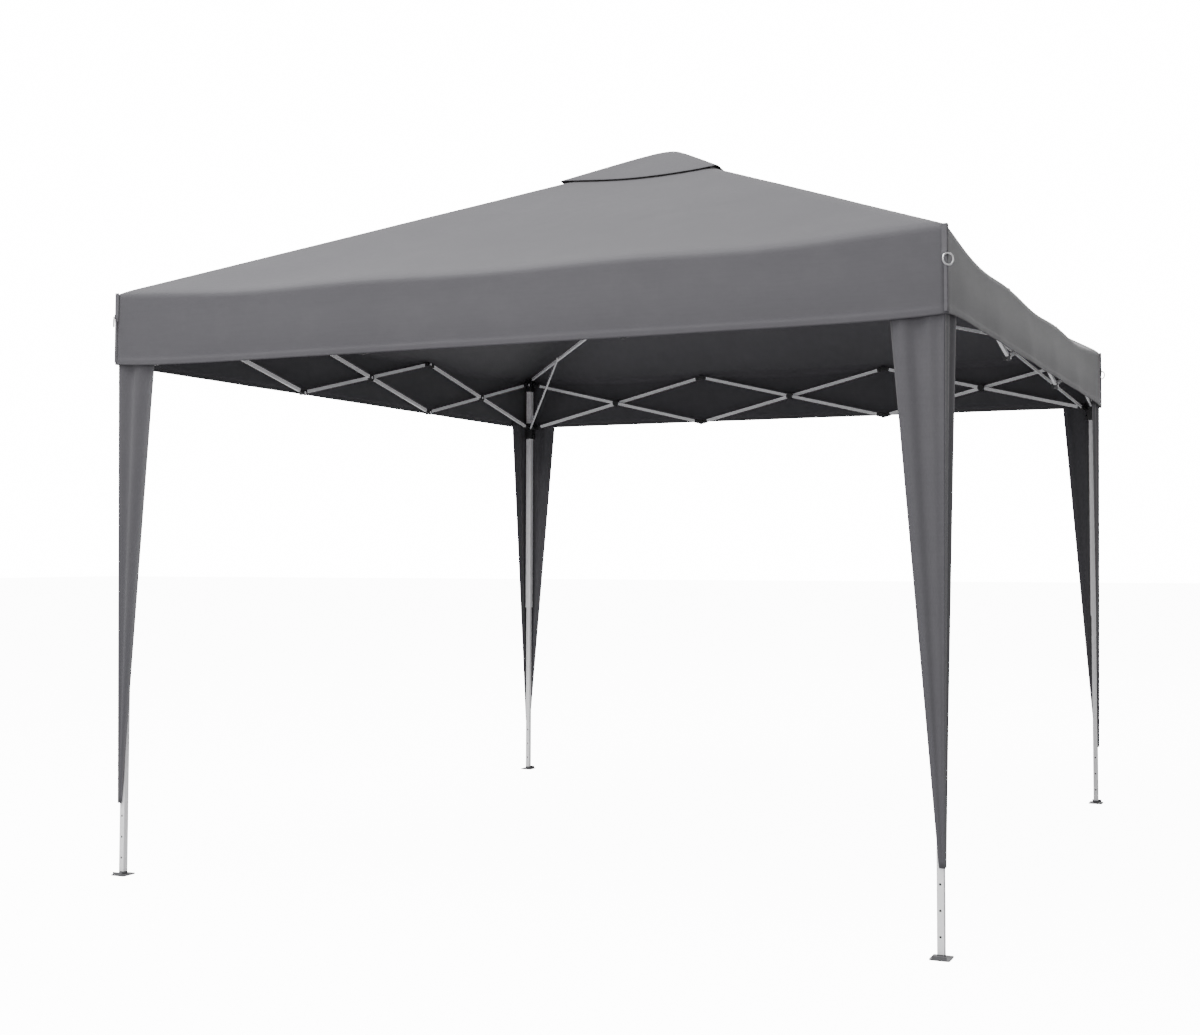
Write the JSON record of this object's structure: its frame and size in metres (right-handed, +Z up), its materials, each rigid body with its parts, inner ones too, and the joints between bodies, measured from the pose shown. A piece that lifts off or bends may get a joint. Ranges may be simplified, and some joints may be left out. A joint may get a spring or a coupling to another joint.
{
  "type": "pop-up gazebo",
  "caption": "Folding shelter with scissor-truss frame, telescopic legs, hipped fabric roof with vent cap, valance and tapered leg curtains.",
  "frame": {"origin": "on the ground, midway between the four legs", "axes": "+Z up, X and Y along the sides of the square plan"},
  "size_m": [2.958, 2.958, 2.7515],
  "materials": {
    "roof_cloth": "matt woven polyester",
    "moulded_black": "matt moulded",
    "button_grey": "matt moulded",
    "white_steel": "satin powder coat"
  },
  "bodies": {
    "leg_back_left": {"upper_leg_back_left": "white_steel", "top_bracket_back_left": "moulded_black", "canopy": "roof_cloth"},
    "lower_leg_back_left": {"lower_leg_back_left": "white_steel"},
    "runner_back_left": {"runner_back_left": "moulded_black"},
    "lock_button_back_left": {"lock_button_back_left": "button_grey"},
    "lower_rafter_back_left": {"lower_rafter_back_left": "white_steel"},
    "upper_rafter_back_left": {"upper_rafter_back_left": "white_steel"},
    "strut_back_left": {"strut_back_left": "white_steel"},
    "leg_back_right": {"upper_leg_back_right": "white_steel", "top_bracket_back_right": "moulded_black"},
    "lower_leg_back_right": {"lower_leg_back_right": "white_steel"},
    "runner_back_right": {"runner_back_right": "moulded_black"},
    "lock_button_back_right": {"lock_button_back_right": "button_grey"},
    "lower_rafter_back_right": {"lower_rafter_back_right": "white_steel"},
    "upper_rafter_back_right": {"upper_rafter_back_right": "white_steel"},
    "strut_back_right": {"strut_back_right": "white_steel"},
    "leg_front_right": {"upper_leg_front_right": "white_steel", "top_bracket_front_right": "moulded_black"},
    "lower_leg_front_right": {"lower_leg_front_right": "white_steel"},
    "runner_front_right": {"runner_front_right": "moulded_black"},
    "lock_button_front_right": {"lock_button_front_right": "button_grey"},
    "lower_rafter_front_right": {"lower_rafter_front_right": "white_steel"},
    "upper_rafter_front_right": {"upper_rafter_front_right": "white_steel"},
    "strut_front_right": {"strut_front_right": "white_steel"},
    "leg_front_left": {"upper_leg_front_left": "white_steel", "top_bracket_front_left": "moulded_black"},
    "lower_leg_front_left": {"lower_leg_front_left": "white_steel"},
    "runner_front_left": {"runner_front_left": "moulded_black"},
    "lock_button_front_left": {"lock_button_front_left": "button_grey"},
    "lower_rafter_front_left": {"lower_rafter_front_left": "white_steel"},
    "upper_rafter_front_left": {"upper_rafter_front_left": "white_steel"},
    "strut_front_left": {"strut_front_left": "white_steel"},
    "hub": {"hub": "moulded_black", "peak_post": "moulded_black", "vent_cap": "roof_cloth"},
    "back_truss_fall_1": {"back_truss_fall_1": "white_steel"},
    "back_truss_fall_2": {"back_truss_fall_2": "white_steel"},
    "back_truss_fall_3": {"back_truss_fall_3": "white_steel"},
    "back_truss_rise_1": {"back_truss_rise_1": "white_steel"},
    "back_truss_rise_2": {"back_truss_rise_2": "white_steel"},
    "back_truss_rise_3": {"back_truss_rise_3": "white_steel"},
    "left_truss_fall_1": {"left_truss_fall_1": "white_steel"},
    "left_truss_fall_2": {"left_truss_fall_2": "white_steel"},
    "left_truss_fall_3": {"left_truss_fall_3": "white_steel"},
    "left_truss_rise_1": {"left_truss_rise_1": "white_steel"},
    "left_truss_rise_2": {"left_truss_rise_2": "white_steel"},
    "left_truss_rise_3": {"left_truss_rise_3": "white_steel"},
    "right_truss_fall_1": {"right_truss_fall_1": "white_steel"},
    "right_truss_fall_2": {"right_truss_fall_2": "white_steel"},
    "right_truss_fall_3": {"right_truss_fall_3": "white_steel"},
    "right_truss_rise_1": {"right_truss_rise_1": "white_steel"},
    "right_truss_rise_2": {"right_truss_rise_2": "white_steel"},
    "right_truss_rise_3": {"right_truss_rise_3": "white_steel"},
    "front_truss_fall_1": {"front_truss_fall_1": "white_steel"},
    "front_truss_fall_2": {"front_truss_fall_2": "white_steel"},
    "front_truss_fall_3": {"front_truss_fall_3": "white_steel"},
    "front_truss_rise_1": {"front_truss_rise_1": "white_steel"},
    "front_truss_rise_2": {"front_truss_rise_2": "white_steel"},
    "front_truss_rise_3": {"front_truss_rise_3": "white_steel"}
  },
  "joints": [
    {"name": "back_truss_fall_1_turn", "type": "hinge", "parent": "leg_back_left", "child": "back_truss_fall_1", "pos_m": [-1.418, 1.45, 2.008], "axis": [0, 1, 0], "range_deg": [0, 64.55]},
    {"name": "back_truss_rise_1_turn", "type": "hinge", "parent": "back_truss_fall_1", "child": "back_truss_rise_1", "pos_m": [-0.94533, 1.45, 1.895], "axis": [0, -1, 0], "range_deg": [0, 127.11]},
    {"name": "back_truss_fall_2_turn", "type": "hinge", "parent": "back_truss_rise_1", "child": "back_truss_fall_2", "pos_m": [-0.47267, 1.45, 2.008], "axis": [0, 1, 0], "range_deg": [0, 127.11]},
    {"name": "back_truss_rise_2_turn", "type": "hinge", "parent": "back_truss_fall_2", "child": "back_truss_rise_2", "pos_m": [0, 1.45, 1.895], "axis": [0, -1, 0], "range_deg": [0, 127.11]},
    {"name": "back_truss_fall_3_turn", "type": "hinge", "parent": "back_truss_rise_2", "child": "back_truss_fall_3", "pos_m": [0.47267, 1.45, 2.008], "axis": [0, 1, 0], "range_deg": [0, 127.11]},
    {"name": "back_truss_rise_3_turn", "type": "hinge", "parent": "back_truss_fall_3", "child": "back_truss_rise_3", "pos_m": [0.94533, 1.45, 1.895], "axis": [0, -1, 0], "range_deg": [0, 127.11]},
    {"name": "leg_back_right_turn", "type": "hinge", "parent": "back_truss_rise_3", "child": "leg_back_right", "pos_m": [1.418, 1.45, 2.008], "axis": [0, 1, 0], "range_deg": [0, 64.55]},
    {"name": "frame_fold", "type": "hinge", "parent": "leg_back_left", "child": "left_truss_fall_1", "pos_m": [-1.45, 1.418, 2.008], "axis": [1, 0, 0], "range_deg": [0, 62.55], "deforming": ["canopy", "vent_cap"]},
    {"name": "left_truss_rise_1_turn", "type": "hinge", "parent": "left_truss_fall_1", "child": "left_truss_rise_1", "pos_m": [-1.45, 0.94533, 1.895], "axis": [-1, 0, 0], "range_deg": [0, 127.11]},
    {"name": "left_truss_fall_2_turn", "type": "hinge", "parent": "left_truss_rise_1", "child": "left_truss_fall_2", "pos_m": [-1.45, 0.47267, 2.008], "axis": [1, 0, 0], "range_deg": [0, 127.11]},
    {"name": "left_truss_rise_2_turn", "type": "hinge", "parent": "left_truss_fall_2", "child": "left_truss_rise_2", "pos_m": [-1.45, 0, 1.895], "axis": [-1, 0, 0], "range_deg": [0, 127.11]},
    {"name": "left_truss_fall_3_turn", "type": "hinge", "parent": "left_truss_rise_2", "child": "left_truss_fall_3", "pos_m": [-1.45, -0.47267, 2.008], "axis": [1, 0, 0], "range_deg": [0, 127.11]},
    {"name": "left_truss_rise_3_turn", "type": "hinge", "parent": "left_truss_fall_3", "child": "left_truss_rise_3", "pos_m": [-1.45, -0.94533, 1.895], "axis": [-1, 0, 0], "range_deg": [0, 127.11]},
    {"name": "leg_front_left_turn", "type": "hinge", "parent": "left_truss_rise_3", "child": "leg_front_left", "pos_m": [-1.45, -1.418, 2.008], "axis": [1, 0, 0], "range_deg": [0, 64.55]},
    {"name": "right_truss_fall_1_turn", "type": "hinge", "parent": "leg_back_right", "child": "right_truss_fall_1", "pos_m": [1.45, 1.418, 2.008], "axis": [1, 0, 0], "range_deg": [0, 64.55]},
    {"name": "right_truss_rise_1_turn", "type": "hinge", "parent": "right_truss_fall_1", "child": "right_truss_rise_1", "pos_m": [1.45, 0.94533, 1.895], "axis": [-1, 0, 0], "range_deg": [0, 127.11]},
    {"name": "right_truss_fall_2_turn", "type": "hinge", "parent": "right_truss_rise_1", "child": "right_truss_fall_2", "pos_m": [1.45, 0.47267, 2.008], "axis": [1, 0, 0], "range_deg": [0, 127.11]},
    {"name": "right_truss_rise_2_turn", "type": "hinge", "parent": "right_truss_fall_2", "child": "right_truss_rise_2", "pos_m": [1.45, 0, 1.895], "axis": [-1, 0, 0], "range_deg": [0, 127.11]},
    {"name": "right_truss_fall_3_turn", "type": "hinge", "parent": "right_truss_rise_2", "child": "right_truss_fall_3", "pos_m": [1.45, -0.47267, 2.008], "axis": [1, 0, 0], "range_deg": [0, 127.11]},
    {"name": "right_truss_rise_3_turn", "type": "hinge", "parent": "right_truss_fall_3", "child": "right_truss_rise_3", "pos_m": [1.45, -0.94533, 1.895], "axis": [-1, 0, 0], "range_deg": [0, 127.11]},
    {"name": "leg_front_right_turn", "type": "hinge", "parent": "right_truss_rise_3", "child": "leg_front_right", "pos_m": [1.45, -1.418, 2.008], "axis": [1, 0, 0], "range_deg": [0, 64.55]},
    {"name": "front_truss_fall_1_turn", "type": "hinge", "parent": "leg_front_left", "child": "front_truss_fall_1", "pos_m": [-1.418, -1.45, 2.008], "axis": [0, 1, 0], "range_deg": [0, 64.55]},
    {"name": "front_truss_rise_1_turn", "type": "hinge", "parent": "front_truss_fall_1", "child": "front_truss_rise_1", "pos_m": [-0.94533, -1.45, 1.895], "axis": [0, -1, 0], "range_deg": [0, 127.11]},
    {"name": "front_truss_fall_2_turn", "type": "hinge", "parent": "front_truss_rise_1", "child": "front_truss_fall_2", "pos_m": [-0.47267, -1.45, 2.008], "axis": [0, 1, 0], "range_deg": [0, 127.11]},
    {"name": "front_truss_rise_2_turn", "type": "hinge", "parent": "front_truss_fall_2", "child": "front_truss_rise_2", "pos_m": [0, -1.45, 1.895], "axis": [0, -1, 0], "range_deg": [0, 127.11]},
    {"name": "front_truss_fall_3_turn", "type": "hinge", "parent": "front_truss_rise_2", "child": "front_truss_fall_3", "pos_m": [0.47267, -1.45, 2.008], "axis": [0, 1, 0], "range_deg": [0, 127.11]},
    {"name": "front_truss_rise_3_turn", "type": "hinge", "parent": "front_truss_fall_3", "child": "front_truss_rise_3", "pos_m": [0.94533, -1.45, 1.895], "axis": [0, -1, 0], "range_deg": [0, 127.11]},
    {"name": "runner_back_left_slide_pin", "type": "hinge", "parent": "back_truss_rise_1", "child": "runner_back_left", "pos_m": [-1.418, 1.45, 1.782], "axis": [0, 1, 0], "range_deg": [0, 64.55]},
    {"name": "runner_back_right_slide_pin", "type": "hinge", "parent": "back_truss_fall_3", "child": "runner_back_right", "pos_m": [1.418, 1.45, 1.782], "axis": [0, -1, 0], "range_deg": [0, 64.55]},
    {"name": "runner_front_left_slide_pin", "type": "hinge", "parent": "front_truss_rise_1", "child": "runner_front_left", "pos_m": [-1.418, -1.45, 1.782], "axis": [0, 1, 0], "range_deg": [0, 64.55]},
    {"name": "runner_front_right_slide_pin", "type": "hinge", "parent": "right_truss_fall_3", "child": "runner_front_right", "pos_m": [1.45, -1.418, 1.782], "axis": [-1, 0, 0], "range_deg": [0, 64.55]},
    {"name": "lower_rafter_back_left_turn", "type": "hinge", "parent": "leg_back_left", "child": "lower_rafter_back_left", "pos_m": [-1.41889, 1.41889, 2.036], "axis": [-0.7071, -0.7071, 0], "range_deg": [-74.32, 0]},
    {"name": "knee_back_left_turn", "type": "hinge", "parent": "lower_rafter_back_left", "child": "upper_rafter_back_left", "pos_m": [-0.72659, 0.72659, 2.14409], "axis": [-0.7071, -0.7071, 0], "range_deg": [0, 135.22]},
    {"name": "strut_back_left_turn", "type": "hinge", "parent": "lower_rafter_back_left", "child": "strut_back_left", "pos_m": [-1.08153, 1.08153, 2.08867], "axis": [-0.7071, -0.7071, 0], "range_deg": [0, 111.46]},
    {"name": "hub_turn", "type": "hinge", "parent": "upper_rafter_back_left", "child": "hub", "pos_m": [-0.04596, 0.04596, 2.64], "axis": [-0.7071, -0.7071, 0], "range_deg": [-62.91, 0]},
    {"name": "leg_length_back_left", "type": "slide", "parent": "leg_back_left", "child": "lower_leg_back_left", "axis": [0, 0, 1], "range_m": [0, 0.75]},
    {"name": "lock_button_back_left_press", "type": "slide", "parent": "runner_back_left", "child": "lock_button_back_left", "axis": [1, 0, 0], "range_m": [0, 0.004], "stiffness_N_per_m": 500, "springref_m": -0.002},
    {"name": "lower_rafter_back_right_turn", "type": "hinge", "parent": "leg_back_right", "child": "lower_rafter_back_right", "pos_m": [1.41889, 1.41889, 2.036], "axis": [-0.7071, 0.7071, 0], "range_deg": [-74.32, 0]},
    {"name": "knee_back_right_turn", "type": "hinge", "parent": "lower_rafter_back_right", "child": "upper_rafter_back_right", "pos_m": [0.72659, 0.72659, 2.14409], "axis": [-0.7071, 0.7071, 0], "range_deg": [0, 135.22]},
    {"name": "strut_back_right_turn", "type": "hinge", "parent": "lower_rafter_back_right", "child": "strut_back_right", "pos_m": [1.08153, 1.08153, 2.08867], "axis": [-0.7071, 0.7071, 0], "range_deg": [0, 111.46]},
    {"name": "leg_length_back_right", "type": "slide", "parent": "leg_back_right", "child": "lower_leg_back_right", "axis": [0, 0, 1], "range_m": [0, 0.75]},
    {"name": "lock_button_back_right_press", "type": "slide", "parent": "runner_back_right", "child": "lock_button_back_right", "axis": [-1, 0, 0], "range_m": [0, 0.004], "stiffness_N_per_m": 500, "springref_m": -0.002},
    {"name": "lower_rafter_front_right_turn", "type": "hinge", "parent": "leg_front_right", "child": "lower_rafter_front_right", "pos_m": [1.41889, -1.41889, 2.036], "axis": [0.7071, 0.7071, 0], "range_deg": [-74.32, 0]},
    {"name": "knee_front_right_turn", "type": "hinge", "parent": "lower_rafter_front_right", "child": "upper_rafter_front_right", "pos_m": [0.72659, -0.72659, 2.14409], "axis": [0.7071, 0.7071, 0], "range_deg": [0, 135.22]},
    {"name": "strut_front_right_turn", "type": "hinge", "parent": "lower_rafter_front_right", "child": "strut_front_right", "pos_m": [1.08153, -1.08153, 2.08867], "axis": [0.7071, 0.7071, 0], "range_deg": [0, 111.46]},
    {"name": "leg_length_front_right", "type": "slide", "parent": "leg_front_right", "child": "lower_leg_front_right", "axis": [0, 0, 1], "range_m": [0, 0.75]},
    {"name": "lock_button_front_right_press", "type": "slide", "parent": "runner_front_right", "child": "lock_button_front_right", "axis": [-1, 0, 0], "range_m": [0, 0.004], "stiffness_N_per_m": 500, "springref_m": -0.002},
    {"name": "lower_rafter_front_left_turn", "type": "hinge", "parent": "leg_front_left", "child": "lower_rafter_front_left", "pos_m": [-1.41889, -1.41889, 2.036], "axis": [0.7071, -0.7071, 0], "range_deg": [-74.32, 0]},
    {"name": "knee_front_left_turn", "type": "hinge", "parent": "lower_rafter_front_left", "child": "upper_rafter_front_left", "pos_m": [-0.72659, -0.72659, 2.14409], "axis": [0.7071, -0.7071, 0], "range_deg": [0, 135.22]},
    {"name": "strut_front_left_turn", "type": "hinge", "parent": "lower_rafter_front_left", "child": "strut_front_left", "pos_m": [-1.08153, -1.08153, 2.08867], "axis": [0.7071, -0.7071, 0], "range_deg": [0, 111.46]},
    {"name": "leg_length_front_left", "type": "slide", "parent": "leg_front_left", "child": "lower_leg_front_left", "axis": [0, 0, 1], "range_m": [0, 0.75]},
    {"name": "lock_button_front_left_press", "type": "slide", "parent": "runner_front_left", "child": "lock_button_front_left", "axis": [1, 0, 0], "range_m": [0, 0.004], "stiffness_N_per_m": 500, "springref_m": -0.002}
  ],
  "couplings": [
    {"joint": "back_truss_fall_1_turn", "follows": "frame_fold", "ratio": 1},
    {"joint": "back_truss_rise_1_turn", "follows": "frame_fold", "ratio": 2},
    {"joint": "back_truss_fall_2_turn", "follows": "frame_fold", "ratio": 2},
    {"joint": "back_truss_rise_2_turn", "follows": "frame_fold", "ratio": 2},
    {"joint": "back_truss_fall_3_turn", "follows": "frame_fold", "ratio": 2},
    {"joint": "back_truss_rise_3_turn", "follows": "frame_fold", "ratio": 2},
    {"joint": "leg_back_right_turn", "follows": "frame_fold", "ratio": 1},
    {"joint": "left_truss_rise_1_turn", "follows": "frame_fold", "ratio": 2},
    {"joint": "left_truss_fall_2_turn", "follows": "frame_fold", "ratio": 2},
    {"joint": "left_truss_rise_2_turn", "follows": "frame_fold", "ratio": 2},
    {"joint": "left_truss_fall_3_turn", "follows": "frame_fold", "ratio": 2},
    {"joint": "left_truss_rise_3_turn", "follows": "frame_fold", "ratio": 2},
    {"joint": "leg_front_left_turn", "follows": "frame_fold", "ratio": 1},
    {"joint": "right_truss_fall_1_turn", "follows": "frame_fold", "ratio": 1},
    {"joint": "right_truss_rise_1_turn", "follows": "frame_fold", "ratio": 2},
    {"joint": "right_truss_fall_2_turn", "follows": "frame_fold", "ratio": 2},
    {"joint": "right_truss_rise_2_turn", "follows": "frame_fold", "ratio": 2},
    {"joint": "right_truss_fall_3_turn", "follows": "frame_fold", "ratio": 2},
    {"joint": "right_truss_rise_3_turn", "follows": "frame_fold", "ratio": 2},
    {"joint": "leg_front_right_turn", "follows": "frame_fold", "ratio": 1},
    {"joint": "front_truss_fall_1_turn", "follows": "frame_fold", "ratio": 1},
    {"joint": "front_truss_rise_1_turn", "follows": "frame_fold", "ratio": 2},
    {"joint": "front_truss_fall_2_turn", "follows": "frame_fold", "ratio": 2},
    {"joint": "front_truss_rise_2_turn", "follows": "frame_fold", "ratio": 2},
    {"joint": "front_truss_fall_3_turn", "follows": "frame_fold", "ratio": 2},
    {"joint": "front_truss_rise_3_turn", "follows": "frame_fold", "ratio": 2},
    {"joint": "runner_back_left_slide_pin", "follows": "frame_fold", "ratio": 1},
    {"joint": "runner_back_right_slide_pin", "follows": "frame_fold", "ratio": 1},
    {"joint": "runner_front_left_slide_pin", "follows": "frame_fold", "ratio": 1},
    {"joint": "runner_front_right_slide_pin", "follows": "frame_fold", "ratio": 1},
    {"joint": "lower_rafter_back_left_turn", "follows": "frame_fold", "ratio": -1.156},
    {"joint": "knee_back_left_turn", "follows": "frame_fold", "ratio": 2.1297},
    {"joint": "strut_back_left_turn", "follows": "frame_fold", "ratio": 1.7499},
    {"joint": "hub_turn", "follows": "frame_fold", "ratio": -0.97366},
    {"joint": "lower_rafter_back_right_turn", "follows": "frame_fold", "ratio": -1.156},
    {"joint": "knee_back_right_turn", "follows": "frame_fold", "ratio": 2.1297},
    {"joint": "strut_back_right_turn", "follows": "frame_fold", "ratio": 1.7499},
    {"joint": "lower_rafter_front_right_turn", "follows": "frame_fold", "ratio": -1.156},
    {"joint": "knee_front_right_turn", "follows": "frame_fold", "ratio": 2.1297},
    {"joint": "strut_front_right_turn", "follows": "frame_fold", "ratio": 1.7499},
    {"joint": "lower_rafter_front_left_turn", "follows": "frame_fold", "ratio": -1.156},
    {"joint": "knee_front_left_turn", "follows": "frame_fold", "ratio": 2.1297},
    {"joint": "strut_front_left_turn", "follows": "frame_fold", "ratio": 1.7499}
  ]
}
